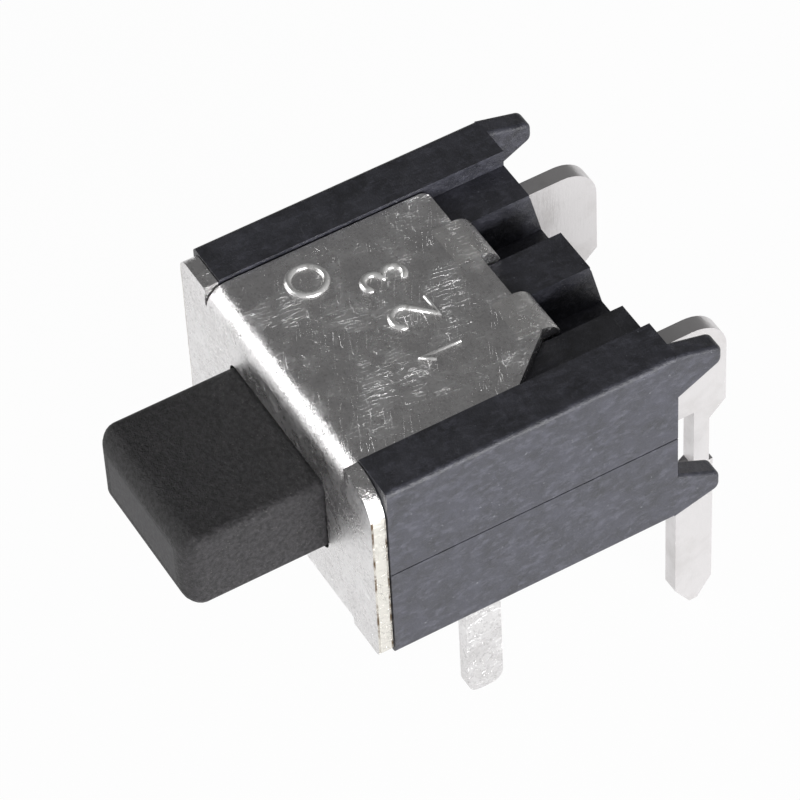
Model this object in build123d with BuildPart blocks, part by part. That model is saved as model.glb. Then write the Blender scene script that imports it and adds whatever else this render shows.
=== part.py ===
"""Right-angle subminiature pushbutton switch for a printed circuit board.

The button slides along Y, +Y is into the switch, +Z is up and the board plane is Z = 0.
The origin lies on the board plane, at mid-width, on the housing's front face. Sizes are millimetres.
"""

import os

from build123d import *

# ---------------------------------------------------------------- driving dimensions
# Housing, a moulding with a rim along each side of its top and bottom
HOUSING_WIDTH = 7.9
HOUSING_DEPTH = 6.8
HOUSING_HEIGHT = 5.0
RIM_WIDTH = 1.1
RIM_EDGE_RADIUS = 0.12
SIDE_WALL = 1.05
CAVITY_ROOF = 0.4
REAR_WALL = 1.3
SEAL_DEPTH = 0.8
SEAL_STAND_PROUD = 0.12
REAR_BULGE = 0.35
REAR_BULGE_HEIGHT = 1.1
REAR_BLOCK_RADIUS = 0.18
BULGE_HALF_WIDTH = 3.05
POCKET_HALF_WIDTH = 0.33
POCKET_MARGIN = 0.1
TROUGH_HEIGHT = 0.9
NOTCH_FLOOR_DEPTH = 1.2
EAR_THICKNESS = 0.5
EAR_LENGTH = 1.05
EAR_ROOT_HEIGHT = 1.3
EAR_TIP_DROP = 0.3
EAR_TIP_HEIGHT = 0.44
EAR_OVERLAP = 0.05
EAR_EDGE_RADIUS = 0.1
EAR_TIP_RADIUS = 0.19
SPRING_POST_DIAMETER = 0.6
SPRING_POST_LENGTH = 0.6
PARTING_LINE_WIDTH = 0.03
PARTING_LINE_DEPTH = 0.02

# Frame, one folded sheet: front plate, a tab over the top and one under the bottom
SHEET = 0.33
PLATE_WIDTH = 7.8
PLATE_EDGE_DROP = 0.05
PLATE_CORNER_RADIUS = 0.3
PLATE_RELIEVED_CORNER_RADIUS = 0.85
PLATE_LOWER_CORNER_RADIUS = 0.15
BEND_INNER_RADIUS = 0.17
LOWER_BEND_OUTER_RADIUS = 0.2
BEND_RELIEF = 0.05
TAB_WIDTH = 5.6
TAB_LENGTH = 4.9
TAB_CORNER_RADIUS = 0.2
TAB_CHAMFER_WIDTH = 1.0
TAB_CHAMFER_LENGTH = 1.15
TAB_BELOW_RIM = 0.08
SHEET_GAP = 0.02
FINGER_PITCH = 2.4
FINGER_WIDTH = 1.15
FINGER_REACH = 0.16
FINGER_DROP = 0.7
FINGER_BEND_RADIUS = 0.15
LEG_WIDTH = 0.85
LEG_CENTRE_Y = 2.72
LEG_BELOW_BOARD = 4.2
LEG_TIP_RADIUS = 0.3

# Button and the slider behind it, one moulding
BUTTON_WIDTH = 3.8
BUTTON_HEIGHT = 2.05
BUTTON_LENGTH = 3.6
BUTTON_FRONT_RADIUS = 0.42
BUTTON_SIDE_RADIUS = 0.2
WINDOW_CLEARANCE = 0.06
TRAVEL = 1.4
SLIDER_CLEARANCE = 0.1
SLIDER_FRONT_GAP = 0.05
SLIDER_LENGTH = 3.2
SLIDER_UNDERSIDE_ABOVE_BLADE = 0.1
BRIDGE_ROOM = 0.1

# Terminals, flat stampings that stand in the YZ plane
TERMINAL_PITCH = 2.54
TERMINAL_THICKNESS = 0.4
BLADE_FRONT_Y = 1.75
BLADE_HEIGHT = 1.1
BLADE_LOW_HEIGHT = 0.45
LAND_LENGTH = 1.0
REST_GAP = 0.1
REST_HEIGHT = 0.55
ROOT_HEIGHT = 1.9
FLAG_REACH = 1.95
FLAG_BOTTOM = 1.4
FLAG_TOP = 3.95
FLAG_CORNER_RADIUS = 0.85
FLAG_CHAMFER = 0.4
LOW_FLAG_TOP = 1.4
LOW_FLAG_CORNER_RADIUS = 0.6
NECK_WIDTH = 0.38
NECK_BOTTOM = -0.35
PIN_WIDTH = 0.92
PIN_REAR_INSET = 0.3
PIN_BELOW_BOARD = 4.8
PIN_POINT_LENGTH = 0.55
PIN_POINT_WIDTH = 0.2
SLOT_CLEARANCE = 0.01

# Moving contact and springs
BRIDGE_THICKNESS = 0.15
BRIDGE_WIDTH = 0.8
BRIDGE_END_CLEARANCE = 0.05
BRIDGE_SIDE_CLEARANCE = 0.06
BRIDGE_CORNER_RADIUS = 0.15
CONTACT_GAP = 0.02
DIMPLE_DIAMETER = 0.5
DIMPLE_HEIGHT = 0.18
DIMPLE_TAPER = 35
CONTACT_SPRING_X = 1.35
CONTACT_SPRING_DIAMETER = 0.9
CONTACT_SPRING_WIRE = 0.12
CONTACT_SPRING_TURNS = 4
CONTACT_SPRING_LENGTH = 1.1
RETURN_SPRING_DIAMETER = 1.1
RETURN_SPRING_WIRE = 0.16
RETURN_SPRING_TURNS = 8
RETURN_SPRING_BORE_DEPTH = 2.0
SPRING_BORE_CLEARANCE = 0.08
SPRING_AXIS_BELOW_TOP = 0.8

# ---------------------------------------------------------------- values that follow
MID_Z = HOUSING_HEIGHT / 2
RIM_HEIGHT = TAB_BELOW_RIM + SHEET + SHEET_GAP
HALF_WIDTH = HOUSING_WIDTH / 2
RECESS_HALF_WIDTH = HALF_WIDTH - RIM_WIDTH
ROOF_Z = HOUSING_HEIGHT - RIM_HEIGHT
CAVITY_HALF_WIDTH = HALF_WIDTH - SIDE_WALL
CAVITY_FLOOR_Z = RIM_HEIGHT + CAVITY_ROOF
CAVITY_TOP_Z = ROOF_Z - CAVITY_ROOF
CAVITY_REAR_Y = HOUSING_DEPTH - SEAL_DEPTH - REAR_WALL
SEAL_FRONT_Y = HOUSING_DEPTH - SEAL_DEPTH
FLAG_REAR_Y = HOUSING_DEPTH + FLAG_REACH
TAB_TOP_Z = HOUSING_HEIGHT - TAB_BELOW_RIM
NOTCH_WIDTH = FINGER_WIDTH + 0.1
NOTCH_FRONT_Y = TAB_LENGTH + FINGER_REACH - FINGER_BEND_RADIUS - SHEET_GAP
BLADE_TOP_Z = CAVITY_FLOOR_Z + BLADE_HEIGHT
SLIDER_BOTTOM_Z = BLADE_TOP_Z + SLIDER_UNDERSIDE_ABOVE_BLADE
SLIDER_TOP_Z = CAVITY_TOP_Z - SLIDER_CLEARANCE
SLIDER_FRONT_Y = SLIDER_FRONT_GAP
SLIDER_REAR_Y = SLIDER_FRONT_Y + SLIDER_LENGTH
BRIDGE_Y = BLADE_FRONT_Y + LAND_LENGTH / 2
BRIDGE_BOTTOM_Z = BLADE_TOP_Z + CONTACT_GAP + DIMPLE_HEIGHT
BRIDGE_TOP_Z = BRIDGE_BOTTOM_Z + BRIDGE_THICKNESS
SPRING_AXIS_Z = SLIDER_TOP_Z - SPRING_AXIS_BELOW_TOP
CLOSED_LAND_REAR_Y = BLADE_FRONT_Y + LAND_LENGTH
OPEN_LAND_FRONT_Y = BRIDGE_Y + TRAVEL - LAND_LENGTH / 2
REST_FRONT_Y = BLADE_FRONT_Y
REST_WIDTH = CAVITY_HALF_WIDTH - TERMINAL_PITCH + TERMINAL_THICKNESS / 2
COMMON_X = 0.0
NORMALLY_CLOSED_X = TERMINAL_PITCH
NORMALLY_OPEN_X = -TERMINAL_PITCH
TERMINAL_XS = (NORMALLY_OPEN_X, COMMON_X, NORMALLY_CLOSED_X)
ROOT_TOP_Z = CAVITY_FLOOR_Z + ROOT_HEIGHT
BLADE_BOTTOM_Z = CAVITY_FLOOR_Z + SLOT_CLEARANCE
# Span in Z of the metal that leaves the rear wall at each terminal, and of its slot through the wall
SEALED_SPANS = (
    (NORMALLY_OPEN_X, FLAG_BOTTOM, FLAG_TOP),
    (COMMON_X, BLADE_BOTTOM_Z, LOW_FLAG_TOP),
    (NORMALLY_CLOSED_X, FLAG_BOTTOM, FLAG_TOP),
)
POCKET_SPANS = (
    (NORMALLY_OPEN_X, FLAG_BOTTOM - POCKET_MARGIN, FLAG_TOP + POCKET_MARGIN),
    (COMMON_X, BLADE_BOTTOM_Z - POCKET_MARGIN, MID_Z),
    (NORMALLY_CLOSED_X, FLAG_BOTTOM - POCKET_MARGIN, FLAG_TOP + POCKET_MARGIN),
)
SLOT_SPANS = (
    (NORMALLY_OPEN_X, BLADE_BOTTOM_Z, ROOT_TOP_Z),
    (COMMON_X, BLADE_BOTTOM_Z, LOW_FLAG_TOP),
    (NORMALLY_CLOSED_X, BLADE_BOTTOM_Z, ROOT_TOP_Z),
)
FINGER_XS = (-FINGER_PITCH / 2, FINGER_PITCH / 2)


def export(piece, name):
    """Labels a finished piece and writes it as one STEP file."""
    piece.part.label = name
    export_step(piece.part, f"parts/{name}.step")


def mirrored_in_z(points):
    """The same YZ outline, upside down about the housing's middle."""
    return [(y, HOUSING_HEIGHT - z) for y, z in points]


# ---------------------------------------------------------------- housing
BULGE_OUTLINE = [
    (SEAL_FRONT_Y, ROOF_Z),
    (HOUSING_DEPTH, ROOF_Z),
    (HOUSING_DEPTH + REAR_BULGE, MID_Z + REAR_BULGE_HEIGHT / 2),
    (HOUSING_DEPTH + REAR_BULGE, MID_Z - REAR_BULGE_HEIGHT / 2),
    (HOUSING_DEPTH, RIM_HEIGHT),
    (SEAL_FRONT_Y, RIM_HEIGHT),
]
EAR_OUTLINE = [
    (HOUSING_DEPTH - EAR_OVERLAP, HOUSING_HEIGHT),
    (HOUSING_DEPTH, HOUSING_HEIGHT),
    (HOUSING_DEPTH + EAR_LENGTH, HOUSING_HEIGHT - EAR_TIP_DROP),
    (HOUSING_DEPTH + EAR_LENGTH, HOUSING_HEIGHT - EAR_TIP_DROP - EAR_TIP_HEIGHT),
    (HOUSING_DEPTH, HOUSING_HEIGHT - EAR_ROOT_HEIGHT),
    (HOUSING_DEPTH - EAR_OVERLAP, HOUSING_HEIGHT - EAR_ROOT_HEIGHT),
]


with BuildPart() as housing:
    with BuildSketch():
        with Locations((0, HOUSING_DEPTH / 2)):
            Rectangle(HOUSING_WIDTH, HOUSING_DEPTH)
    extrude(amount=HOUSING_HEIGHT)
    long_edges = housing.edges().filter_by(Axis.Y)
    fillet(long_edges, RIM_EDGE_RADIUS)
    with BuildSketch(Plane.YZ.offset(-BULGE_HALF_WIDTH)) as bulge:
        with BuildLine():
            Polyline(*BULGE_OUTLINE, close=True)
        make_face()
        for z in (RIM_HEIGHT, ROOF_Z):
            fillet(bulge.vertices().sort_by_distance((HOUSING_DEPTH, z))[0], REAR_BLOCK_RADIUS)
    extrude(amount=2 * BULGE_HALF_WIDTH)
    for inner_x in (-HALF_WIDTH, HALF_WIDTH - EAR_THICKNESS):
        for outline in (EAR_OUTLINE, mirrored_in_z(EAR_OUTLINE)):
            with BuildSketch(Plane.YZ.offset(inner_x)) as ear:
                with BuildLine():
                    Polyline(*outline, close=True)
                make_face()
                tip = ear.vertices().group_by(Axis.X)[-1]
                fillet(tip, EAR_TIP_RADIUS)
            extrude(amount=EAR_THICKNESS)
    ear_edges = housing.edges().filter_by(lambda edge: edge.center().Y > HOUSING_DEPTH + REAR_BULGE)
    fillet(ear_edges.filter_by(Axis.X, reverse=True), EAR_EDGE_RADIUS)
    # Recesses for the two tabs
    for low_z, high_z in ((ROOF_Z, HOUSING_HEIGHT), (0, RIM_HEIGHT)):
        with BuildSketch(Plane.XY.offset(low_z)):
            with Locations((0, HOUSING_DEPTH / 2)):
                Rectangle(2 * RECESS_HALF_WIDTH, 2 * HOUSING_DEPTH)
        extrude(amount=high_z - low_z, mode=Mode.SUBTRACT)
    # Cavity for the slider, open at the front
    with BuildSketch(Plane.XZ):
        with Locations((0, MID_Z)):
            Rectangle(2 * CAVITY_HALF_WIDTH, CAVITY_TOP_Z - CAVITY_FLOOR_Z)
    extrude(amount=-CAVITY_REAR_Y, mode=Mode.SUBTRACT)
    # Notches that the clinch fingers turn into
    for x in FINGER_XS:
        for low_z in (ROOF_Z - NOTCH_FLOOR_DEPTH, RIM_HEIGHT):
            with BuildSketch(Plane.XY.offset(low_z)):
                with Locations((x, NOTCH_FRONT_Y)):
                    Rectangle(NOTCH_WIDTH, HOUSING_DEPTH, align=(Align.CENTER, Align.MIN))
            extrude(amount=NOTCH_FLOOR_DEPTH, mode=Mode.SUBTRACT)
    # Space for the seal behind the rear wall, and the terminal slots through the wall
    with BuildSketch(Plane.XZ.offset(-SEAL_FRONT_Y)):
        with Locations((0, MID_Z)):
            Rectangle(2 * CAVITY_HALF_WIDTH, TROUGH_HEIGHT)
        for x, low_z, high_z in POCKET_SPANS:
            with Locations((x, (low_z + high_z) / 2)):
                Rectangle(2 * POCKET_HALF_WIDTH, high_z - low_z)
    extrude(amount=-2 * SEAL_DEPTH, mode=Mode.SUBTRACT)
    for x, low_z, high_z in SLOT_SPANS:
        with BuildSketch(Plane.XZ.offset(-CAVITY_REAR_Y)):
            with Locations((x, (low_z + high_z) / 2)):
                Rectangle(
                    TERMINAL_THICKNESS + 2 * SLOT_CLEARANCE,
                    high_z - low_z + 2 * SLOT_CLEARANCE,
                )
        extrude(amount=-REAR_WALL, mode=Mode.SUBTRACT)
    # Rests that the bridge slides on where a terminal has no land under it
    with BuildSketch(Plane.XY.offset(CAVITY_FLOOR_Z)):
        with Locations((-CAVITY_HALF_WIDTH, REST_FRONT_Y)):
            Rectangle(REST_WIDTH, OPEN_LAND_FRONT_Y - REST_GAP - REST_FRONT_Y, align=Align.MIN)
    extrude(amount=BLADE_HEIGHT)
    with BuildSketch(Plane.XY.offset(BLADE_TOP_Z - REST_HEIGHT)):
        with Locations((CAVITY_HALF_WIDTH, CLOSED_LAND_REAR_Y + REST_GAP)):
            Rectangle(
                REST_WIDTH,
                CAVITY_REAR_Y - CLOSED_LAND_REAR_Y - 2 * REST_GAP,
                align=(Align.MAX, Align.MIN),
            )
    extrude(amount=REST_HEIGHT)
    # Parting line of the mould, a fine groove along each side
    with BuildSketch(Plane.XZ):
        with Locations((-HALF_WIDTH, MID_Z), (HALF_WIDTH, MID_Z)):
            Rectangle(2 * PARTING_LINE_DEPTH, PARTING_LINE_WIDTH)
    extrude(amount=-HOUSING_DEPTH, mode=Mode.SUBTRACT)
    # Post that centres the return spring
    with BuildSketch(Plane.XZ.offset(-CAVITY_REAR_Y)):
        with Locations((0, SPRING_AXIS_Z)):
            Circle(SPRING_POST_DIAMETER / 2)
    extrude(amount=SPRING_POST_LENGTH)


# ---------------------------------------------------------------- frame
BEND_OUTER_RADIUS = BEND_INNER_RADIUS + SHEET
PLATE_REAR_Y = -SHEET_GAP
PLATE_FRONT_Y = PLATE_REAR_Y - SHEET
TAB_LOW_Z = HOUSING_HEIGHT - TAB_TOP_Z
PLATE_TOP_Z = HOUSING_HEIGHT - PLATE_EDGE_DROP
FINGER_REAR_Y = TAB_LENGTH + FINGER_REACH + SHEET
LEG_TOP_Z = TAB_LOW_Z + SHEET
LEG_OUTER_X = TAB_WIDTH / 2

with BuildPart() as frame:
    with BuildSketch(Plane.XZ.offset(-PLATE_REAR_Y)) as plate:
        with Locations((0, MID_Z)):
            Rectangle(PLATE_WIDTH, 2 * PLATE_TOP_Z - HOUSING_HEIGHT)
        fillet(plate.vertices().group_by(Axis.Y)[0], PLATE_LOWER_CORNER_RADIUS)
        fillet(plate.vertices().group_by(Axis.Y)[-1].sort_by(Axis.X)[0], PLATE_CORNER_RADIUS)
        fillet(plate.vertices().group_by(Axis.Y)[-1].sort_by(Axis.X)[-1], PLATE_RELIEVED_CORNER_RADIUS)
        for edge_z, bend_radius in (
            (PLATE_TOP_Z, BEND_OUTER_RADIUS),
            (HOUSING_HEIGHT - PLATE_TOP_Z, LOWER_BEND_OUTER_RADIUS),
        ):
            with Locations((0, edge_z)):
                Rectangle(TAB_WIDTH + 2 * BEND_RELIEF, 2 * bend_radius, mode=Mode.SUBTRACT)
    extrude(amount=SHEET)
    # Tabs over the top and under the bottom, with the bends that join them to the plate
    with BuildSketch(Plane.YZ.offset(-TAB_WIDTH / 2)) as fold:
        with BuildLine():
            Polyline(
                (PLATE_FRONT_Y, TAB_LOW_Z),
                (TAB_LENGTH, TAB_LOW_Z),
                (TAB_LENGTH, TAB_LOW_Z + SHEET),
                (PLATE_REAR_Y, TAB_LOW_Z + SHEET),
                (PLATE_REAR_Y, TAB_TOP_Z - SHEET),
                (TAB_LENGTH, TAB_TOP_Z - SHEET),
                (TAB_LENGTH, TAB_TOP_Z),
                (PLATE_FRONT_Y, TAB_TOP_Z),
                close=True,
            )
        make_face()
        fillet(fold.vertices().sort_by_distance((PLATE_FRONT_Y, TAB_TOP_Z))[0], BEND_OUTER_RADIUS)
        lower_corner = (PLATE_FRONT_Y, TAB_LOW_Z)
        fillet(fold.vertices().sort_by_distance(lower_corner)[0], LOWER_BEND_OUTER_RADIUS)
    extrude(amount=TAB_WIDTH)
    tab_corners = frame.edges().filter_by(Axis.Z).group_by(Axis.Y)[-1]
    chamfered = tab_corners.filter_by(lambda edge: edge.center().X > 0)
    rounded = tab_corners.filter_by(lambda edge: edge.center().X < 0)
    fillet(rounded, TAB_CORNER_RADIUS)
    for corner in chamfered:
        with BuildSketch(Plane.XY.offset(corner.center().Z - SHEET)):
            with BuildLine():
                Polyline(
                    (TAB_WIDTH / 2 - TAB_CHAMFER_WIDTH, TAB_LENGTH),
                    (TAB_WIDTH / 2, TAB_LENGTH - TAB_CHAMFER_LENGTH),
                    (TAB_WIDTH, TAB_LENGTH),
                    close=True,
                )
            make_face()
        extrude(amount=2 * SHEET, mode=Mode.SUBTRACT)
    # Clinch fingers turned into the housing's notches
    finger_front_y = TAB_LENGTH - SHEET
    for x in FINGER_XS:
        for face_z, inward in ((TAB_TOP_Z, -1), (TAB_LOW_Z, 1)):
            with BuildSketch(Plane.YZ.offset(x - FINGER_WIDTH / 2)) as finger:
                with BuildLine():
                    Polyline(
                        (finger_front_y, face_z),
                        (FINGER_REAR_Y, face_z),
                        (FINGER_REAR_Y, face_z + inward * FINGER_DROP),
                        (FINGER_REAR_Y - SHEET, face_z + inward * FINGER_DROP),
                        (FINGER_REAR_Y - SHEET, face_z + inward * SHEET),
                        (finger_front_y, face_z + inward * SHEET),
                        close=True,
                    )
                make_face()
                outer = finger.vertices().sort_by_distance((FINGER_REAR_Y, face_z))[0]
                fillet(outer, FINGER_BEND_RADIUS + SHEET)
                inner_corner = (FINGER_REAR_Y - SHEET, face_z + inward * SHEET)
                inner = finger.vertices().sort_by_distance(inner_corner)[0]
                fillet(inner, FINGER_BEND_RADIUS)
            extrude(amount=FINGER_WIDTH)
    # Support legs, bent down from the sides of the lower tab
    for low_x in (-LEG_OUTER_X, LEG_OUTER_X - SHEET):
        with BuildSketch(Plane.YZ.offset(low_x)) as leg:
            with Locations((LEG_CENTRE_Y, LEG_TOP_Z)):
                Rectangle(LEG_WIDTH, LEG_TOP_Z + LEG_BELOW_BOARD, align=(Align.CENTER, Align.MAX))
            fillet(leg.vertices().group_by(Axis.Y)[0], LEG_TIP_RADIUS)
        extrude(amount=SHEET)
    # Window for the button
    with BuildSketch(Plane.XZ.offset(-PLATE_REAR_Y)):
        with Locations((0, MID_Z)):
            RectangleRounded(
                BUTTON_WIDTH + 2 * WINDOW_CLEARANCE,
                BUTTON_HEIGHT + 2 * WINDOW_CLEARANCE,
                BUTTON_SIDE_RADIUS + WINDOW_CLEARANCE,
            )
    extrude(amount=SHEET, mode=Mode.SUBTRACT)


# ---------------------------------------------------------------- button and slider
SLIDER_WIDTH = 2 * (CAVITY_HALF_WIDTH - SLIDER_CLEARANCE)
RETURN_BORE_FRONT_Y = SLIDER_REAR_Y - RETURN_SPRING_BORE_DEPTH
CONTACT_SPRING_TOP_Z = BRIDGE_TOP_Z + CONTACT_SPRING_LENGTH + 2 * SLOT_CLEARANCE
BRIDGE_POCKET_TOP_Z = BRIDGE_TOP_Z + BRIDGE_ROOM

with BuildPart() as plunger:
    with BuildSketch(Plane.XZ.offset(-SLIDER_FRONT_Y)):
        with Locations((0, MID_Z)):
            RectangleRounded(BUTTON_WIDTH, BUTTON_HEIGHT, BUTTON_SIDE_RADIUS)
    extrude(amount=BUTTON_LENGTH)
    fillet(plunger.faces().sort_by(Axis.Y)[0].edges(), BUTTON_FRONT_RADIUS)
    with BuildSketch(Plane.XZ.offset(-SLIDER_FRONT_Y)):
        with Locations((0, (SLIDER_BOTTOM_Z + SLIDER_TOP_Z) / 2)):
            Rectangle(SLIDER_WIDTH, SLIDER_TOP_Z - SLIDER_BOTTOM_Z)
    extrude(amount=-SLIDER_LENGTH)
    # Slot across the underside for the bridge, and a bore above it for each contact spring
    with BuildSketch(Plane.XY.offset(SLIDER_BOTTOM_Z)):
        with Locations((0, BRIDGE_Y)):
            Rectangle(SLIDER_WIDTH, BRIDGE_WIDTH + 2 * BRIDGE_END_CLEARANCE)
    extrude(amount=BRIDGE_POCKET_TOP_Z - SLIDER_BOTTOM_Z, mode=Mode.SUBTRACT)
    with BuildSketch(Plane.XY.offset(BRIDGE_POCKET_TOP_Z)):
        with Locations((-CONTACT_SPRING_X, BRIDGE_Y), (CONTACT_SPRING_X, BRIDGE_Y)):
            Circle(CONTACT_SPRING_DIAMETER / 2 + SPRING_BORE_CLEARANCE)
    extrude(amount=CONTACT_SPRING_TOP_Z - BRIDGE_POCKET_TOP_Z, mode=Mode.SUBTRACT)
    # Bore for the return spring, open at the rear
    with BuildSketch(Plane.XZ.offset(-RETURN_BORE_FRONT_Y)):
        with Locations((0, SPRING_AXIS_Z)):
            Circle(RETURN_SPRING_DIAMETER / 2 + SPRING_BORE_CLEARANCE)
    extrude(amount=-RETURN_SPRING_BORE_DEPTH, mode=Mode.SUBTRACT)


# ---------------------------------------------------------------- terminals
BLADE_LOW_Z = CAVITY_FLOOR_Z + BLADE_LOW_HEIGHT
FLAG_FRONT_Y = SEAL_FRONT_Y + SLOT_CLEARANCE
ROOT_REAR_Y = SEAL_FRONT_Y - SLOT_CLEARANCE
NECK_REAR_Y = FLAG_REAR_Y - FLAG_CHAMFER
NECK_FRONT_Y = NECK_REAR_Y - NECK_WIDTH
PIN_REAR_Y = FLAG_REAR_Y - PIN_REAR_INSET
PIN_FRONT_Y = PIN_REAR_Y - PIN_WIDTH
PIN_MIDDLE_Y = (PIN_REAR_Y + PIN_FRONT_Y) / 2
PIN_SHOULDER_Z = PIN_POINT_LENGTH - PIN_BELOW_BOARD

FLAG_AND_PIN_OUTLINE = [
    (CAVITY_REAR_Y, ROOT_TOP_Z),
    (FLAG_FRONT_Y, ROOT_TOP_Z),
    (FLAG_FRONT_Y, FLAG_TOP),
    (FLAG_REAR_Y, FLAG_TOP),
    (FLAG_REAR_Y, FLAG_BOTTOM),
    (NECK_REAR_Y, FLAG_BOTTOM - FLAG_CHAMFER),
    (NECK_REAR_Y, NECK_BOTTOM),
    (PIN_REAR_Y, NECK_BOTTOM),
    (PIN_REAR_Y, PIN_SHOULDER_Z),
    (PIN_MIDDLE_Y + PIN_POINT_WIDTH / 2, -PIN_BELOW_BOARD),
    (PIN_MIDDLE_Y - PIN_POINT_WIDTH / 2, -PIN_BELOW_BOARD),
    (PIN_FRONT_Y, PIN_SHOULDER_Z),
    (PIN_FRONT_Y, NECK_BOTTOM - NECK_WIDTH),
    (NECK_FRONT_Y, NECK_BOTTOM),
    (NECK_FRONT_Y, FLAG_BOTTOM),
    (ROOT_REAR_Y, FLAG_BOTTOM),
    (ROOT_REAR_Y, BLADE_BOTTOM_Z),
]
COMMON_OUTLINE = [
    (BLADE_FRONT_Y, BLADE_BOTTOM_Z),
    (BLADE_FRONT_Y, BLADE_TOP_Z),
    (CAVITY_REAR_Y - REST_GAP, BLADE_TOP_Z),
    (CAVITY_REAR_Y - REST_GAP, LOW_FLAG_TOP),
    (PIN_REAR_Y, LOW_FLAG_TOP),
    (PIN_REAR_Y, PIN_SHOULDER_Z),
    (PIN_MIDDLE_Y + PIN_POINT_WIDTH / 2, -PIN_BELOW_BOARD),
    (PIN_MIDDLE_Y - PIN_POINT_WIDTH / 2, -PIN_BELOW_BOARD),
    (PIN_FRONT_Y, PIN_SHOULDER_Z),
    (PIN_FRONT_Y, BLADE_BOTTOM_Z),
]
NORMALLY_CLOSED_OUTLINE = [
    (BLADE_FRONT_Y, BLADE_BOTTOM_Z),
    (BLADE_FRONT_Y, BLADE_TOP_Z),
    (CLOSED_LAND_REAR_Y, BLADE_TOP_Z),
    (CLOSED_LAND_REAR_Y, BLADE_LOW_Z),
    (CAVITY_REAR_Y, BLADE_LOW_Z),
    *FLAG_AND_PIN_OUTLINE,
]
NORMALLY_OPEN_OUTLINE = [
    (OPEN_LAND_FRONT_Y, BLADE_BOTTOM_Z),
    (OPEN_LAND_FRONT_Y, BLADE_TOP_Z),
    (CAVITY_REAR_Y, BLADE_TOP_Z),
    *FLAG_AND_PIN_OUTLINE,
]


def terminal(x, outline, top_rear_corner, corner_radius):
    """A flat stamping, its middle at x, from its contact blade to the point of its pin."""
    with BuildPart() as stamping:
        with BuildSketch(Plane.YZ.offset(x - TERMINAL_THICKNESS / 2)) as blank:
            with BuildLine():
                Polyline(*outline, close=True)
            make_face()
            fillet(blank.vertices().sort_by_distance(top_rear_corner)[0], corner_radius)
        extrude(amount=TERMINAL_THICKNESS)
    return stamping


FLAG_CORNER = (FLAG_REAR_Y, FLAG_TOP)
LOW_FLAG_CORNER = (PIN_REAR_Y, LOW_FLAG_TOP)
terminal_common = terminal(COMMON_X, COMMON_OUTLINE, LOW_FLAG_CORNER, LOW_FLAG_CORNER_RADIUS)
terminal_normally_closed = terminal(
    NORMALLY_CLOSED_X, NORMALLY_CLOSED_OUTLINE, FLAG_CORNER, FLAG_CORNER_RADIUS
)
terminal_normally_open = terminal(
    NORMALLY_OPEN_X, NORMALLY_OPEN_OUTLINE, FLAG_CORNER, FLAG_CORNER_RADIUS
)


# ---------------------------------------------------------------- seal
SEAL_REAR_Y = HOUSING_DEPTH + SEAL_STAND_PROUD

with BuildPart() as seal:
    with BuildSketch(Plane.XZ.offset(-SEAL_FRONT_Y - SLOT_CLEARANCE)):
        with Locations((0, MID_Z)):
            Rectangle(
                2 * (CAVITY_HALF_WIDTH - SLOT_CLEARANCE), TROUGH_HEIGHT - 2 * SLOT_CLEARANCE
            )
        for x, low_z, high_z in POCKET_SPANS:
            with Locations((x, (low_z + high_z) / 2)):
                Rectangle(
                    2 * (POCKET_HALF_WIDTH - SLOT_CLEARANCE), high_z - low_z - 2 * SLOT_CLEARANCE
                )
    extrude(amount=SEAL_FRONT_Y + SLOT_CLEARANCE - SEAL_REAR_Y)
    for x, low_z, high_z in SEALED_SPANS:
        with BuildSketch(Plane.XZ.offset(-SEAL_FRONT_Y)):
            with Locations((x, (low_z + high_z) / 2)):
                Rectangle(
                    TERMINAL_THICKNESS + 2 * SLOT_CLEARANCE,
                    high_z - low_z + 2 * SLOT_CLEARANCE,
                )
        extrude(amount=-2 * SEAL_DEPTH, mode=Mode.SUBTRACT)


# ---------------------------------------------------------------- moving contact
BRIDGE_LENGTH = 2 * (CAVITY_HALF_WIDTH - BRIDGE_SIDE_CLEARANCE)

with BuildPart() as contact_bridge:
    with BuildSketch(Plane.XY.offset(BRIDGE_BOTTOM_Z)):
        with Locations((0, BRIDGE_Y)):
            RectangleRounded(BRIDGE_LENGTH, BRIDGE_WIDTH, BRIDGE_CORNER_RADIUS)
    extrude(amount=BRIDGE_THICKNESS)
    # One dimple over each terminal
    with BuildSketch(Plane.XY.offset(BRIDGE_BOTTOM_Z)):
        for x in TERMINAL_XS:
            with Locations((x, BRIDGE_Y)):
                Circle(DIMPLE_DIAMETER / 2)
    extrude(amount=-DIMPLE_HEIGHT, taper=DIMPLE_TAPER)


# ---------------------------------------------------------------- springs
def coil(start, direction, length, diameter, wire, turns):
    """An open coil spring of round wire; length is measured over the wire at both ends."""
    helix_start = Vector(*start) + Vector(*direction) * wire / 2
    rise = length - wire
    with BuildPart() as spring:
        with BuildLine() as path:
            Helix(rise / turns, rise, (diameter - wire) / 2, center=helix_start, direction=direction)
        with BuildSketch(Plane(origin=path.line @ 0, z_dir=path.line % 0)):
            Circle(wire / 2)
        sweep(is_frenet=True)
    return spring


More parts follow.
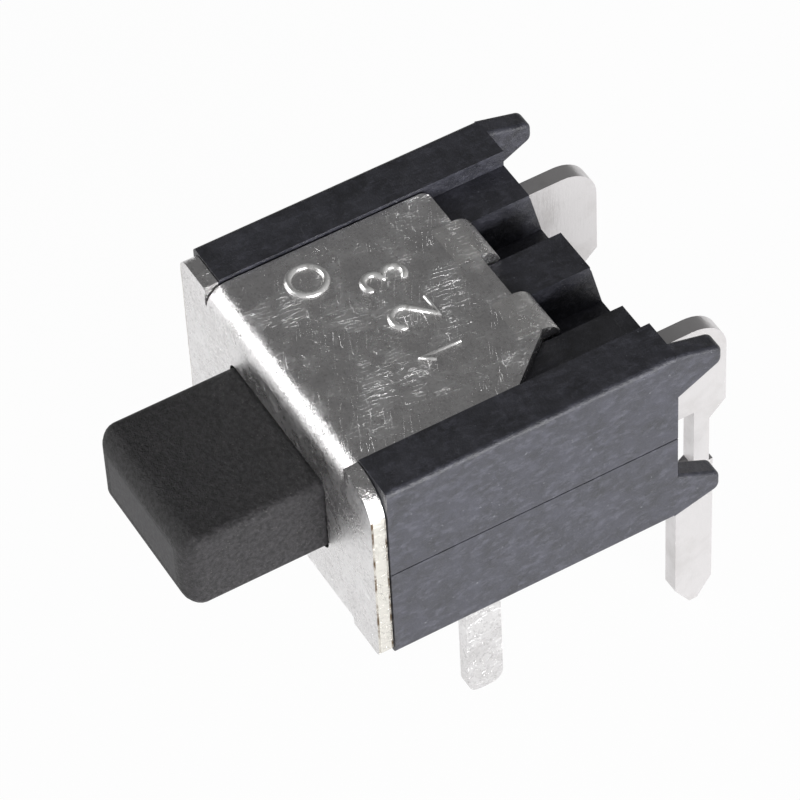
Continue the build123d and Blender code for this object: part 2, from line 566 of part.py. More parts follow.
contact_spring_left = coil(
    (-CONTACT_SPRING_X, BRIDGE_Y, BRIDGE_TOP_Z + SLOT_CLEARANCE),
    (0, 0, 1),
    CONTACT_SPRING_LENGTH,
    CONTACT_SPRING_DIAMETER,
    CONTACT_SPRING_WIRE,
    CONTACT_SPRING_TURNS,
)
contact_spring_right = coil(
    (CONTACT_SPRING_X, BRIDGE_Y, BRIDGE_TOP_Z + SLOT_CLEARANCE),
    (0, 0, 1),
    CONTACT_SPRING_LENGTH,
    CONTACT_SPRING_DIAMETER,
    CONTACT_SPRING_WIRE,
    CONTACT_SPRING_TURNS,
)
return_spring = coil(
    (0, RETURN_BORE_FRONT_Y + SLOT_CLEARANCE, SPRING_AXIS_Z),
    (0, 1, 0),
    CAVITY_REAR_Y - RETURN_BORE_FRONT_Y - 2 * SLOT_CLEARANCE,
    RETURN_SPRING_DIAMETER,
    RETURN_SPRING_WIRE,
    RETURN_SPRING_TURNS,
)


# ---------------------------------------------------------------- export
os.makedirs("parts", exist_ok=True)
export(housing, "housing")
export(frame, "frame")
export(plunger, "plunger")
export(terminal_common, "terminal_common")
export(terminal_normally_closed, "terminal_normally_closed")
export(terminal_normally_open, "terminal_normally_open")
export(seal, "seal")
export(contact_bridge, "contact_bridge")
export(contact_spring_left, "contact_spring_left")
export(contact_spring_right, "contact_spring_right")
export(return_spring, "return_spring")
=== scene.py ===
"""Looks for the right-angle pushbutton switch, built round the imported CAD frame."""

import math

import bmesh
import bpy
from mathutils import Matrix, Vector


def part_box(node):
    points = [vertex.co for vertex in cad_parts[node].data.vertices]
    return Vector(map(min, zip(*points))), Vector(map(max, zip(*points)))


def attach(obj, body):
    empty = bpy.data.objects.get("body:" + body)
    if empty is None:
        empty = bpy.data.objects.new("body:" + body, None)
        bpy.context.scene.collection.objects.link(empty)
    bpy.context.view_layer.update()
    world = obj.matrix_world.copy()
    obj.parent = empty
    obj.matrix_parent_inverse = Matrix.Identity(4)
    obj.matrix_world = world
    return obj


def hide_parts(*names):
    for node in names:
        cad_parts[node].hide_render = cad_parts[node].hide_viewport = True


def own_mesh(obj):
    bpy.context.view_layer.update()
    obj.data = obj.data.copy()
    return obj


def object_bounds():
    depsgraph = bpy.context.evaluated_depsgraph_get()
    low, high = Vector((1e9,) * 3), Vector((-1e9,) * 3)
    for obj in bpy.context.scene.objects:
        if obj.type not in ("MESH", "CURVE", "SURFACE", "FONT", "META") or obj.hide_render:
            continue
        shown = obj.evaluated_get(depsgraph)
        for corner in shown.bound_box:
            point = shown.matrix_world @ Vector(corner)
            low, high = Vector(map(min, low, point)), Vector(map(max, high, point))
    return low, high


MM = 0.001

# ---------------------------------------------------------------- camera, in the row frame
CAMERA_AZIMUTH = math.radians(62.1)
CAMERA_ELEVATION = math.radians(48.96)
CAMERA_ROLL = math.radians(-3.3)
CAMERA_DISTANCE = 105.06 * MM
CAMERA_AIM = Vector((-1.06, 3.08, 1.11)) * MM
LENS_MM = 225
SENSOR_MM = 36

# ---------------------------------------------------------------- stage
FLOOR_DROP = 0.02 * MM
FLOOR_SIZE = 0.6
FLOOR_GREY = 0.86
FLOOR_ROUGHNESS = 0.9
FLOOR_GLOW_SHARE = 0.972
WORLD_FILL = 0.165
LAMP_AIM = (0, 2, 0)
SIDE_LAMP = {"place_mm": (200, 0, 20), "size_mm": (150, 120), "power": 0.9}
FRONT_LAMP = {"place_mm": (-105, -125, 85), "size_mm": (140, 95), "power": 0.24}

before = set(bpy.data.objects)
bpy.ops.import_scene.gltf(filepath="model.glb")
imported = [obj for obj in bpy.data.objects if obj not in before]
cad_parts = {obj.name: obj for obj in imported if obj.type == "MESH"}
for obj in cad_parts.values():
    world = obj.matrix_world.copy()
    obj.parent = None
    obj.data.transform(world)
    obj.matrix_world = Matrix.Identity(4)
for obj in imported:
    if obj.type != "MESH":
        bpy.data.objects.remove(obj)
CAD_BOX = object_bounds()

# ---------------------------------------------------------------- places on the switch
FRAME_LOW, FRAME_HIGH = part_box("frame")
TERMINAL_NODES = ("terminal_normally_open", "terminal_common", "terminal_normally_closed")
CUT_EDGE_X = FRAME_HIGH[0] - 0.02 * MM
SHEET = 0.33 * MM
PLATE_MIDDLE_Y = FRAME_LOW[1] + SHEET / 2
CUT_EDGE_CORE = 0.125 * MM
BUTTON_FRONT_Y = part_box("plunger")[0][1]
BUTTON_MIDDLE_Z = 2.5 * MM
PANEL_HALF_WIDTH = 1.42 * MM
PANEL_HALF_HEIGHT = 0.56 * MM
PANEL_OUTLINE = 0.035 * MM
FINGER_X = 1.2 * MM
FINGER_HALF_WIDTH = 0.56 * MM
CLINCH_FRONT_Y = FRAME_HIGH[1] - 1.0 * MM
FLAG_TOP_Z = 3.95 * MM
FLAG_ROOT_Z = 1.45 * MM
LOW_FLAG_ROOT_Z = 0.95 * MM
MENISCUS_REACH = 0.20 * MM
MENISCUS_END_GAP = 0.03 * MM


def node_tree(name):
    """A new material whose tree holds only its output and its Principled shader."""
    material = bpy.data.materials.new(name)
    material.use_nodes = True
    tree = material.node_tree
    tree.nodes.clear()
    output = tree.nodes.new("ShaderNodeOutputMaterial")
    shader = tree.nodes.new("ShaderNodeBsdfPrincipled")
    tree.links.new(shader.outputs[0], output.inputs["Surface"])
    return material, tree, shader


def noise(tree, scale, detail=4.0, stretch=(1.0, 1.0, 1.0), roughness=0.6):
    """A noise pattern in object space; scale is in features per millimetre."""
    place = tree.nodes.new("ShaderNodeTexCoord")
    mapping = tree.nodes.new("ShaderNodeMapping")
    mapping.inputs["Scale"].default_value = [s / MM for s in stretch]
    pattern = tree.nodes.new("ShaderNodeTexNoise")
    pattern.inputs["Scale"].default_value = scale
    pattern.inputs["Detail"].default_value = detail
    pattern.inputs["Roughness"].default_value = roughness
    tree.links.new(place.outputs["Object"], mapping.inputs["Vector"])
    tree.links.new(mapping.outputs["Vector"], pattern.inputs["Vector"])
    return pattern.outputs["Fac"]


def ramp(tree, source, stops):
    """Maps a 0 to 1 value through (position, colour or grey) stops."""
    node = tree.nodes.new("ShaderNodeValToRGB")
    elements = node.color_ramp.elements
    while len(elements) < len(stops):
        elements.new(0.5)
    for element, (position, value) in zip(elements, stops):
        element.position = position
        grey = (value, value, value) if isinstance(value, (int, float)) else value
        element.color = (*grey, 1.0)
    tree.links.new(source, node.inputs["Fac"])
    return node.outputs["Color"]


def mix(tree, factor, first, second):
    """Mixes two colours; each may be a socket or a plain colour."""
    node = tree.nodes.new("ShaderNodeMix")
    node.data_type = "RGBA"
    if isinstance(factor, (int, float)):
        node.inputs["Factor"].default_value = factor
    else:
        tree.links.new(factor, node.inputs["Factor"])
    for socket, value in ((node.inputs["A"], first), (node.inputs["B"], second)):
        if isinstance(value, tuple):
            socket.default_value = (*value, 1.0)
        else:
            tree.links.new(value, socket)
    return node.outputs["Result"]


def bump(tree, shader, height, depth_mm, normal=None):
    """Feeds a height pattern to the shader's normal; depth is in millimetres."""
    node = tree.nodes.new("ShaderNodeBump")
    node.inputs["Strength"].default_value = 1.0
    node.inputs["Distance"].default_value = depth_mm * MM
    tree.links.new(height, node.inputs["Height"])
    if normal is not None:
        tree.links.new(normal, node.inputs["Normal"])
    tree.links.new(node.outputs["Normal"], shader.inputs["Normal"])
    return node.outputs["Normal"]


def position(tree):
    """The three object-space coordinates of the surface, in metres."""
    place = tree.nodes.new("ShaderNodeTexCoord")
    parts = tree.nodes.new("ShaderNodeSeparateXYZ")
    tree.links.new(place.outputs["Object"], parts.inputs[0])
    return parts.outputs


def maths(tree, operation, first, second=None):
    """One math node; each input is a socket or a number."""
    node = tree.nodes.new("ShaderNodeMath")
    node.operation = operation
    for socket, value in zip(node.inputs, (first, second)):
        if value is None:
            continue
        if isinstance(value, (int, float)):
            socket.default_value = value
        else:
            tree.links.new(value, socket)
    return node.outputs[0]


def scratches(tree, angle, width, stretch, seed):
    """Thin streaks: the contour lines of a noise drawn out along one direction in XY."""
    place = tree.nodes.new("ShaderNodeTexCoord")
    turned = tree.nodes.new("ShaderNodeMapping")
    turned.inputs["Rotation"].default_value = (0.0, 0.0, math.radians(angle))
    mapping = tree.nodes.new("ShaderNodeMapping")
    mapping.inputs["Location"].default_value = (seed, 2.3 * seed, 0.7 * seed)
    mapping.inputs["Scale"].default_value = [s / MM for s in stretch]
    pattern = tree.nodes.new("ShaderNodeTexNoise")
    pattern.inputs["Scale"].default_value = 1.0
    pattern.inputs["Detail"].default_value = 1.5
    tree.links.new(place.outputs["Object"], turned.inputs["Vector"])
    tree.links.new(turned.outputs["Vector"], mapping.inputs["Vector"])
    tree.links.new(mapping.outputs["Vector"], pattern.inputs["Vector"])
    off_line = maths(tree, "ABSOLUTE", maths(tree, "SUBTRACT", pattern.outputs["Fac"], 0.5))
    return ramp(tree, off_line, [(0.0, 1.0), (width, 0.0)])


def patches(tree, scale, low, high):
    """A soft-edged mask that keeps a pattern to scattered areas."""
    return ramp(tree, noise(tree, scale, detail=2.0), [(low, 0.0), (high, 1.0)])


def housing_material():
    """Charcoal glass-filled nylon with a blue cast, fibrous, scuffed and dotted with pale specks."""
    material, tree, shader = node_tree("nylon_charcoal")
    mottle = noise(tree, 1.9, detail=9.0, roughness=0.72)
    fibres = noise(tree, 1.0, detail=5.0, stretch=(6.0, 3.4, 6.5), roughness=0.72)
    grain = noise(tree, 24.0, detail=3.0)
    specks = noise(tree, 8.0, detail=3.0, roughness=0.75)
    base = ramp(tree, mottle, [(0.36, (0.0125, 0.0130, 0.0195)), (0.64, (0.0345, 0.0352, 0.0500))])
    frayed = mix(tree, ramp(tree, fibres, [(0.50, 0.0), (0.66, 0.7)]), base, (0.070, 0.071, 0.094))
    scuffed = maths(
        tree, "MULTIPLY", scratches(tree, 12, 0.010, (1.6, 5.5, 5.5), 1.7), patches(tree, 0.7, 0.48, 0.62)
    )
    rubbed = mix(tree, maths(tree, "MULTIPLY", scuffed, 0.45), frayed, (0.115, 0.118, 0.138))
    coloured = mix(tree, ramp(tree, specks, [(0.68, 0.0), (0.74, 0.9)]), rubbed, (0.20, 0.205, 0.23))
    tree.links.new(coloured, shader.inputs["Base Color"])
    tree.links.new(ramp(tree, mottle, [(0.3, 0.36), (0.7, 0.58)]), shader.inputs["Roughness"])
    shader.inputs["Specular IOR Level"].default_value = 0.8
    first = bump(tree, shader, mottle, 0.034)
    second = bump(tree, shader, fibres, 0.022, normal=first)
    bump(tree, shader, grain, 0.004, normal=second)
    return material


def panel_mask(tree, margin):
    """The rectangle on the button's front where the mould was polished, less a margin; it also carries the
    panel's painted sheen.
    """
    x, y, z = position(tree)
    across = maths(tree, "LESS_THAN", maths(tree, "ABSOLUTE", x), PANEL_HALF_WIDTH - margin)
    off_middle = maths(tree, "ABSOLUTE", maths(tree, "SUBTRACT", z, BUTTON_MIDDLE_Z))
    upright = maths(tree, "LESS_THAN", off_middle, PANEL_HALF_HEIGHT - margin)
    at_front = maths(tree, "LESS_THAN", y, BUTTON_FRONT_Y + PANEL_OUTLINE)
    return maths(tree, "MULTIPLY", maths(tree, "MULTIPLY", across, upright), at_front)


def button_material():
    """Matt black moulding: coarse spark-eroded grain, light flecks, a smoother panel in front whose lighter
    grey is painted sheen.
    """
    material, tree, shader = node_tree("nylon_black")
    grain = noise(tree, 9.0, detail=5.0, roughness=0.68)
    pits = noise(tree, 17.0, detail=2.0)
    fleck = noise(tree, 26.0, detail=1.0)
    whole, inside = panel_mask(tree, 0.0), panel_mask(tree, PANEL_OUTLINE)
    base = ramp(tree, grain, [(0.38, (0.0050, 0.0048, 0.0056)), (0.64, (0.030, 0.0275, 0.0310))])
    flecked = mix(tree, ramp(tree, fleck, [(0.70, 0.0), (0.76, 1.0)]), base, (0.11, 0.105, 0.10))
    outlined = mix(tree, whole, flecked, (0.003, 0.003, 0.003))
    # Painted sheen: the smooth panel is coloured a lighter grey than the grained moulding around it
    smooth_panel_sheen = ramp(tree, pits, [(0.35, (0.040, 0.039, 0.043)), (0.7, (0.058, 0.056, 0.061))])
    tree.links.new(mix(tree, inside, outlined, smooth_panel_sheen), shader.inputs["Base Color"])
    tree.links.new(ramp(tree, grain, [(0.3, 0.68), (0.7, 0.50)]), shader.inputs["Roughness"])
    shader.inputs["Specular IOR Level"].default_value = 0.5
    coarse = maths(tree, "MULTIPLY", grain, maths(tree, "SUBTRACT", 1.0, whole))
    first = bump(tree, shader, coarse, 0.055)
    bump(tree, shader, pits, 0.010, normal=first)
    return material


def clinch_patches(tree):
    """A mask of the two strips that the clinching tool rubbed, ahead of each finger."""
    x, y, _ = position(tree)
    off_finger = maths(tree, "ABSOLUTE", maths(tree, "SUBTRACT", maths(tree, "ABSOLUTE", x), FINGER_X))
    across = maths(tree, "LESS_THAN", off_finger, FINGER_HALF_WIDTH)
    along = maths(tree, "GREATER_THAN", y, CLINCH_FRONT_Y)
    return maths(tree, "MULTIPLY", across, along)


def plated_material():
    """Nickel-plated sheet: brush strokes, crossing scratches, clouding, and bare cut edges."""
    material, tree, shader = node_tree("plated_sheet")
    cloud = noise(tree, 1.3, detail=7.0, roughness=0.68)
    brushing = noise(tree, 1.0, detail=5.0, stretch=(26.0, 2.2, 18.0), roughness=0.65)
    dents = noise(tree, 4.5, detail=3.0)
    strokes = maths(
        tree, "MULTIPLY", scratches(tree, 4, 0.009, (10.0, 1.5, 6.0), 0.4), patches(tree, 1.3, 0.46, 0.62)
    )
    crossing = maths(
        tree, "MULTIPLY", scratches(tree, 47, 0.008, (5.6, 0.7, 3.0), 3.1), patches(tree, 0.8, 0.47, 0.58)
    )
    returning = maths(
        tree, "MULTIPLY", scratches(tree, -63, 0.008, (5.2, 0.6, 3.0), 5.9), patches(tree, 1.1, 0.48, 0.60)
    )
    lines = maths(tree, "MAXIMUM", maths(tree, "MAXIMUM", strokes, crossing), returning)
    grit = noise(tree, 13.0, detail=4.0, roughness=0.75)
    clouded = ramp(tree, cloud, [(0.3, (0.69, 0.675, 0.675)), (0.7, (0.87, 0.860, 0.862))])
    pitted = mix(tree, ramp(tree, grit, [(0.36, 0.5), (0.48, 0.0)]), clouded, (0.40, 0.39, 0.39))
    clinched = clinch_patches(tree)
    rubbed = mix(tree, maths(tree, "MULTIPLY", clinched, 0.5), pitted, (0.98, 0.96, 0.94))
    scored = mix(tree, maths(tree, "MULTIPLY", lines, 0.6), rubbed, (0.97, 0.965, 0.96))

    # Sheared side edges: bare metal, cream in the middle with a brown line along each border
    x, y, _ = position(tree)
    at_side = maths(tree, "GREATER_THAN", maths(tree, "ABSOLUTE", x), CUT_EDGE_X)
    off_middle = maths(tree, "ABSOLUTE", maths(tree, "SUBTRACT", y, PLATE_MIDDLE_Y))
    border = maths(tree, "GREATER_THAN", off_middle, CUT_EDGE_CORE)
    tarnish = ramp(tree, noise(tree, 3.0, detail=5.0, roughness=0.7), [(0.45, 0.15), (0.60, 1.0)])
    edged = mix(tree, at_side, scored, (0.86, 0.835, 0.775))
    browned = maths(tree, "MULTIPLY", maths(tree, "MULTIPLY", at_side, border), tarnish)
    coloured = mix(tree, browned, edged, (0.17, 0.115, 0.070))
    tree.links.new(coloured, shader.inputs["Base Color"])

    shader.inputs["Metallic"].default_value = 1.0
    tree.links.new(ramp(tree, cloud, [(0.3, 0.20), (0.7, 0.36)]), shader.inputs["Roughness"])
    first = bump(tree, shader, brushing, 0.011)
    second = bump(tree, shader, dents, 0.008, normal=first)
    third = bump(tree, shader, grit, 0.011, normal=second)
    fourth = bump(tree, shader, clinched, 0.012, normal=third)
    bump(tree, shader, lines, 0.006, normal=fourth)
    return material


def polished_highlit_material():
    """The same plating where it is raised and rubbed smoother, with painted highlight: bright and dull dashes
    along the strokes.
    """
    material, tree, shader = node_tree("plated_rubbed_highlit")
    wear_and_highlight = noise(tree, 7.0, detail=4.0, roughness=0.7)
    # Painted highlight: the colour runs in patches from dull to near white, standing in for the bright dashes
    # the raised strokes catch
    base = ramp(tree, wear_and_highlight, [(0.34, (0.55, 0.54, 0.53)), (0.46, (0.92, 0.915, 0.905))])
    tree.links.new(base, shader.inputs["Base Color"])
    shader.inputs["Metallic"].default_value = 0.6
    tree.links.new(ramp(tree, wear_and_highlight, [(0.3, 0.34), (0.6, 0.14)]), shader.inputs["Roughness"])
    bump(tree, shader, wear_and_highlight, 0.012)
    return material


def tin_material():
    """Bright tin plate on the terminals: satin, faint draw lines down the pins, soft stains."""
    material, tree, shader = node_tree("tin_plate")
    stain = noise(tree, 0.9, detail=5.0, roughness=0.6)
    drawn = noise(tree, 1.0, detail=4.0, stretch=(12.0, 16.0, 1.2))
    grain = noise(tree, 12.0, detail=3.0)
    base = ramp(tree, stain, [(0.30, (0.61, 0.592, 0.588)), (0.52, (0.71, 0.692, 0.695))])
    tree.links.new(base, shader.inputs["Base Color"])
    shader.inputs["Metallic"].default_value = 0.82
    tree.links.new(ramp(tree, stain, [(0.3, 0.40), (0.6, 0.28)]), shader.inputs["Roughness"])
    first = bump(tree, shader, drawn, 0.005)
    bump(tree, shader, grain, 0.005, normal=first)
    return material


def resin_material():
    """Cured sealing resin, dark and glossy."""
    material, tree, shader = node_tree("sealing_resin")
    cloud = noise(tree, 1.5, detail=4.0)
    base = ramp(tree, cloud, [(0.35, (0.05, 0.05, 0.055)), (0.7, (0.16, 0.16, 0.165))])
    tree.links.new(base, shader.inputs["Base Color"])
    shader.inputs["Roughness"].default_value = 0.18
    shader.inputs["Coat Weight"].default_value = 0.5
    bump(tree, shader, cloud, 0.02)
    return material


def meniscus_material():
    """Thin resin that crept up the metal, beige-grey and partly see-through."""
    material, tree, shader = node_tree("resin_film")
    cloud = noise(tree, 2.6, detail=4.0)
    base = ramp(tree, cloud, [(0.3, (0.30, 0.285, 0.26)), (0.7, (0.47, 0.455, 0.42))])
    tree.links.new(base, shader.inputs["Base Color"])
    shader.inputs["Roughness"].default_value = 0.16
    shader.inputs["Transmission Weight"].default_value = 0.3
    shader.inputs["IOR"].default_value = 1.5
    bump(tree, shader, cloud, 0.014)
    return material


def bronze_material():
    """Rolled phosphor bronze with a thin gilt contact layer."""
    material, tree, shader = node_tree("phosphor_bronze")
    rolling = noise(tree, 1.0, detail=4.0, stretch=(2.0, 18.0, 18.0))
    base = ramp(tree, rolling, [(0.3, (0.60, 0.42, 0.18)), (0.7, (0.78, 0.58, 0.28))])
    tree.links.new(base, shader.inputs["Base Color"])
    shader.inputs["Metallic"].default_value = 1.0
    shader.inputs["Roughness"].default_value = 0.28
    bump(tree, shader, rolling, 0.003)
    return material


def wire_material():
    """Drawn spring wire."""
    material, tree, shader = node_tree("spring_wire")
    drawing = noise(tree, 12.0, detail=3.0)
    base = ramp(tree, drawing, [(0.3, (0.42, 0.42, 0.43)), (0.7, (0.6, 0.6, 0.6))])
    tree.links.new(base, shader.inputs["Base Color"])
    shader.inputs["Metallic"].default_value = 1.0
    shader.inputs["Roughness"].default_value = 0.25
    bump(tree, shader, drawing, 0.003)
    return material


NYLON = housing_material()
BLACK = button_material()
POLISHED_AND_HIGHLIT = polished_highlit_material()
FILM = meniscus_material()
PLATED = plated_material()
TIN = tin_material()
RESIN = resin_material()
BRONZE = bronze_material()
WIRE = wire_material()

NODE_MATERIALS = {
    "housing": NYLON,
    "plunger": BLACK,
    "frame": PLATED,
    "terminal_common": TIN,
    "terminal_normally_closed": TIN,
    "terminal_normally_open": TIN,
    "seal": RESIN,
    "contact_bridge": BRONZE,
    "contact_spring_left": WIRE,
    "contact_spring_right": WIRE,
    "return_spring": WIRE,
}
for node, material in NODE_MATERIALS.items():
    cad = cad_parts[node]
    for material_slot in cad.material_slots:
        material_slot.material = material


# ---------------------------------------------------------------- softened edges on the CAD nodes
EDGE_SOFTENING = {
    "housing": 0.045,
    "frame": 0.028,
    "terminal_common": 0.03,
    "terminal_normally_closed": 0.03,
    "terminal_normally_open": 0.03,
}
for node, width in EDGE_SOFTENING.items():
    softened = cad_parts[node].modifiers.new("edge", "BEVEL")
    softened.width = width * MM
    softened.segments = 2
    softened.limit_method = "ANGLE"
    softened.angle_limit = math.radians(40)


# ---------------------------------------------------------------- raised marks on the tab
TAB_TOP_Z = 4.92 * MM
MARK_HEIGHT = 0.92
MARK_WIDTH = 0.56
MARK_STROKE = 0.085
MARK_PROUD = 0.072
NUMERAL_TOP_Y = 2.45
NUMERAL_PITCH = 1.15
RING_CENTRE = (-1.93, 1.55)
RING_RADIUS = 0.40


def arc(centre, radius, start, end, steps=14):
    """Points along an arc; angles in degrees, from the reading direction towards the top."""
    angles = (math.radians(start + (end - start) * k / steps) for k in range(steps + 1))
    return [(centre[0] + radius * math.cos(a), centre[1] + radius * math.sin(a)) for a in angles]


def numeral_strokes():
    """Strokes of 1, 2 and 3, each in a box MARK_WIDTH wide and MARK_HEIGHT high."""
    half = MARK_WIDTH / 2
    one = [[(-0.6 * half, 0.72 * MARK_HEIGHT), (0.0, MARK_HEIGHT), (0.0, 0.0)]]
    two = [[*arc((0.0, MARK_HEIGHT - half), half, 165, -35), (-half, 0.0), (half, 0.0)]]
    bowl = MARK_HEIGHT / 4
    upper = arc((0.0, MARK_HEIGHT - bowl), bowl, 150, -90)
    lower = arc((0.0, bowl), bowl, 90, -150)
    return one, two, [upper + lower[1:]]


def add_stroke(curve, points, closed=False):
    """One rounded stroke; points are X and Y in millimetres on the tab's top face."""
    spline = curve.splines.new("POLY")
    spline.points.add(len(points) - 1)
    axis_z = TAB_TOP_Z + (MARK_PROUD - MARK_STROKE) * MM
    for point, (x, y) in zip(spline.points, points):
        point.co = (x * MM, y * MM, axis_z, 1.0)
    spline.use_cyclic_u = closed
    if not closed:
        spline.points[0].radius = 0.55
        spline.points[-1].radius = 0.55


def mark_curve(name):
    """An empty curve with a round section."""
    curve = bpy.data.curves.new(name, "CURVE")
    curve.dimensions = "3D"
    curve.bevel_depth = MARK_STROKE * MM
    curve.bevel_resolution = 3
    curve.use_fill_caps = True
    return curve


def mark_piece(curve, name):
    """The curve's strokes as a mesh that belongs to the frame."""
    drawn = bpy.data.objects.new(name + "_path", curve)
    mesh = bpy.data.meshes.new_from_object(drawn)
    bpy.data.objects.remove(drawn)
    mesh.materials.clear()
    mesh.materials.append(POLISHED_AND_HIGHLIT)
    mesh.polygons.foreach_set("use_smooth", [True] * len(mesh.polygons))
    item = bpy.data.objects.new(name, mesh)
    bpy.context.collection.objects.link(item)
    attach(item, "base")


def build_marks():
    """Plain numerals for the three terminals, read towards -X with their tops towards -Y, and a ring."""
    numerals = mark_curve("numerals")
    for place, strokes in zip((1, 0, -1), numeral_strokes()):
        for stroke in strokes:
            on_tab = [
                (place * NUMERAL_PITCH - across, NUMERAL_TOP_Y + MARK_HEIGHT - up) for across, up in stroke
            ]
            add_stroke(numerals, on_tab)
    mark_piece(numerals, "tab_numerals")
    ring = mark_curve("ring")
    add_stroke(ring, arc(RING_CENTRE, RING_RADIUS, 0, 348, steps=29), closed=True)
    mark_piece(ring, "tab_ring")


# ---------------------------------------------------------------- small added pieces
def mesh_piece(name, vertices, faces, material, body):
    """A mesh object from plain lists, smooth, riding on a body."""
    mesh = bpy.data.meshes.new(name)
    mesh.from_pydata(vertices, [], faces)
    mesh.update()
    shape = bmesh.new()
    shape.from_mesh(mesh)
    bmesh.ops.recalc_face_normals(shape, faces=shape.faces)
    shape.to_mesh(mesh)
    shape.free()
    mesh.materials.append(material)
    mesh.polygons.foreach_set("use_smooth", [True] * len(mesh.polygons))
    item = bpy.data.objects.new(name, mesh)
    bpy.context.collection.objects.link(item)
    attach(item, body)
    return item


def meniscus(name, start, end, along_first, along_second, reach, steps=18, curve_steps=6):
    """A hollow-faced wedge in the corner of two walls, its reach wavering from start to end.

    start and end lie on the corner line, the two directions run along the walls, all in metres.
    """
    start, end = Vector(start), Vector(end)
    first, second = Vector(along_first), Vector(along_second)
    vertices = []
    for k in range(steps + 1):
        share = k / steps
        ends = math.sin(math.pi * min(max(share, 0.04), 0.96)) ** 0.4
        waver = 1.0 + 0.22 * math.sin(5.1 * share + 0.7) + 0.12 * math.sin(13.0 * share)
        size = reach * ends * waver
        corner = start.lerp(end, share)
        vertices.append(corner)
        for j in range(curve_steps + 1):
            turn = (math.pi / 2) * j / curve_steps
            hollow_first = size * (1 - math.sin(turn))
            hollow_second = size * (1 - math.cos(turn))
            vertices.append(corner + first * hollow_first + second * hollow_second)
    ring = curve_steps + 2
    faces = []
    for k in range(steps):
        for j in range(ring):
            following = (j + 1) % ring
            faces.append((k * ring + j, k * ring + following, (k + 1) * ring + following, (k + 1) * ring + j))
    faces.append(tuple(range(ring)))
    faces.append(tuple(range(steps * ring, (steps + 1) * ring)))
    return mesh_piece(name, vertices, faces, FILM, "base")


def build_menisci():
    """Resin crept along each terminal where it leaves the seal."""
    seal_rear_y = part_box("seal")[1][1]
    for node in TERMINAL_NODES:
        low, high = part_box(node)
        top_z = min(high[2], FLAG_TOP_Z)
        bottom_z = FLAG_ROOT_Z if node != "terminal_common" else LOW_FLAG_ROOT_Z
        for side, face_x, outward in (("left", low[0], -1), ("right", high[0], 1)):
            meniscus(
                f"resin_{node}_{side}",
                (face_x, seal_rear_y, bottom_z + MENISCUS_END_GAP),
                (face_x, seal_rear_y, top_z - MENISCUS_END_GAP),
                (outward, 0, 0),
                (0, 1, 0),
                MENISCUS_REACH,
            )


def build_return_spring():
    """The return spring again, as a mesh of its own riding on the base."""
    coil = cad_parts["return_spring"].data.copy()
    coil.materials.clear()
    coil.materials.append(WIRE)
    spring = bpy.data.objects.new("return_spring_coil", coil)
    bpy.context.collection.objects.link(spring)
    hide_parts("return_spring")
    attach(spring, "base")
    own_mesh(spring)


build_marks()
build_menisci()
build_return_spring()


# ---------------------------------------------------------------- stage
def area_lamp(name, place_mm, size_mm, power):
    """A soft rectangular lamp that faces the switch."""
    lamp = bpy.data.lights.new(name, "AREA")
    lamp.shape = "RECTANGLE"
    lamp.size = size_mm[0] * MM
    lamp.size_y = size_mm[1] * MM
    lamp.energy = power
    item = bpy.data.objects.new(name, lamp)
    place = Vector(place_mm) * MM
    item.location = place
    item.rotation_euler = (Vector(LAMP_AIM) * MM - place).to_track_quat("-Z", "Y").to_euler()
    bpy.context.collection.objects.link(item)
    return item


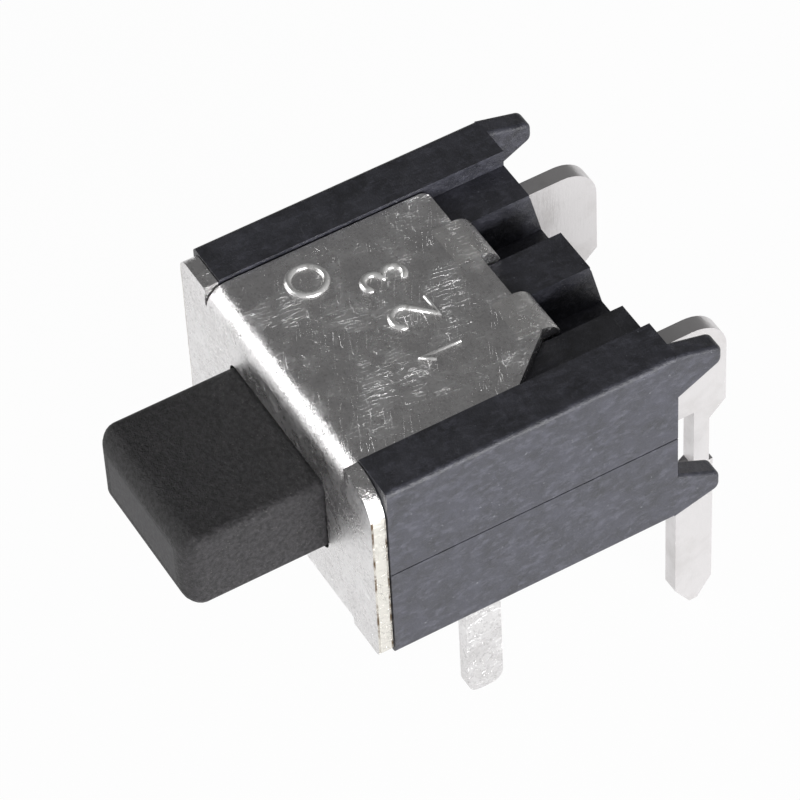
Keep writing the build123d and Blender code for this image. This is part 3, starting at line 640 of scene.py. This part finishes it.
def build_floor():
    """A plain pale floor that mirrors white and keeps the object's shadow."""
    low, high = CAD_BOX
    bpy.ops.mesh.primitive_plane_add(size=FLOOR_SIZE, location=(0, 0, low[2] - FLOOR_DROP))
    floor = bpy.context.object
    floor.name = "floor"
    material, tree, shader = node_tree("floor_white")
    shader.inputs["Base Color"].default_value = (FLOOR_GREY, FLOOR_GREY, FLOOR_GREY, 1.0)
    shader.inputs["Roughness"].default_value = FLOOR_ROUGHNESS
    glow = tree.nodes.new("ShaderNodeEmission")
    glow.inputs["Color"].default_value = (1.0, 1.0, 1.0, 1.0)
    rays = tree.nodes.new("ShaderNodeLightPath")
    seen = tree.nodes.new("ShaderNodeMath")
    seen.operation = "MAXIMUM"
    tree.links.new(rays.outputs["Is Camera Ray"], seen.inputs[0])
    tree.links.new(rays.outputs["Is Glossy Ray"], seen.inputs[1])
    share = tree.nodes.new("ShaderNodeMath")
    share.operation = "MULTIPLY"
    share.inputs[1].default_value = FLOOR_GLOW_SHARE
    tree.links.new(seen.outputs[0], share.inputs[0])
    blend = tree.nodes.new("ShaderNodeMixShader")
    tree.links.new(share.outputs[0], blend.inputs["Fac"])
    tree.links.new(shader.outputs[0], blend.inputs[1])
    tree.links.new(glow.outputs[0], blend.inputs[2])
    output = next(n for n in tree.nodes if n.type == "OUTPUT_MATERIAL")
    tree.links.new(blend.outputs[0], output.inputs["Surface"])
    floor.data.materials.append(material)


def build_world():
    """White where the camera sees it, and a dim soft fill for light and reflections."""
    world = bpy.data.worlds.new("studio")
    bpy.context.scene.world = world
    world.use_nodes = True
    tree = world.node_tree
    tree.nodes.clear()
    output = tree.nodes.new("ShaderNodeOutputWorld")
    fill = tree.nodes.new("ShaderNodeBackground")
    fill.inputs["Color"].default_value = (1.0, 1.0, 1.0, 1.0)
    fill.inputs["Strength"].default_value = WORLD_FILL
    white = tree.nodes.new("ShaderNodeBackground")
    white.inputs["Strength"].default_value = 1.0
    white.inputs["Color"].default_value = (1.0, 1.0, 1.0, 1.0)
    rays = tree.nodes.new("ShaderNodeLightPath")
    blend = tree.nodes.new("ShaderNodeMixShader")
    tree.links.new(rays.outputs["Is Camera Ray"], blend.inputs["Fac"])
    tree.links.new(fill.outputs[0], blend.inputs[1])
    tree.links.new(white.outputs[0], blend.inputs[2])
    tree.links.new(blend.outputs[0], output.inputs["Surface"])


def build_camera():
    """The photograph's viewpoint."""
    camera = bpy.data.cameras.new("camera")
    camera.lens = LENS_MM
    camera.sensor_width = SENSOR_MM
    camera.clip_start = 1 * MM
    camera.clip_end = 10.0
    item = bpy.data.objects.new("camera", camera)
    level = math.cos(CAMERA_ELEVATION)
    outward = Vector(
        (
            math.sin(CAMERA_AZIMUTH) * level,
            -math.cos(CAMERA_AZIMUTH) * level,
            math.sin(CAMERA_ELEVATION),
        )
    )
    turn = outward.to_track_quat("Z", "Y").to_matrix().to_4x4()
    roll = Matrix.Rotation(CAMERA_ROLL, 4, "Z")
    item.matrix_world = Matrix.Translation(CAMERA_AIM + outward * CAMERA_DISTANCE) @ turn @ roll
    bpy.context.collection.objects.link(item)
    bpy.context.scene.camera = item


build_floor()
build_world()
build_camera()
area_lamp("side", **SIDE_LAMP)
front = area_lamp("front", **FRONT_LAMP)
front.visible_diffuse = False
bpy.context.scene.view_settings.view_transform = "Standard"
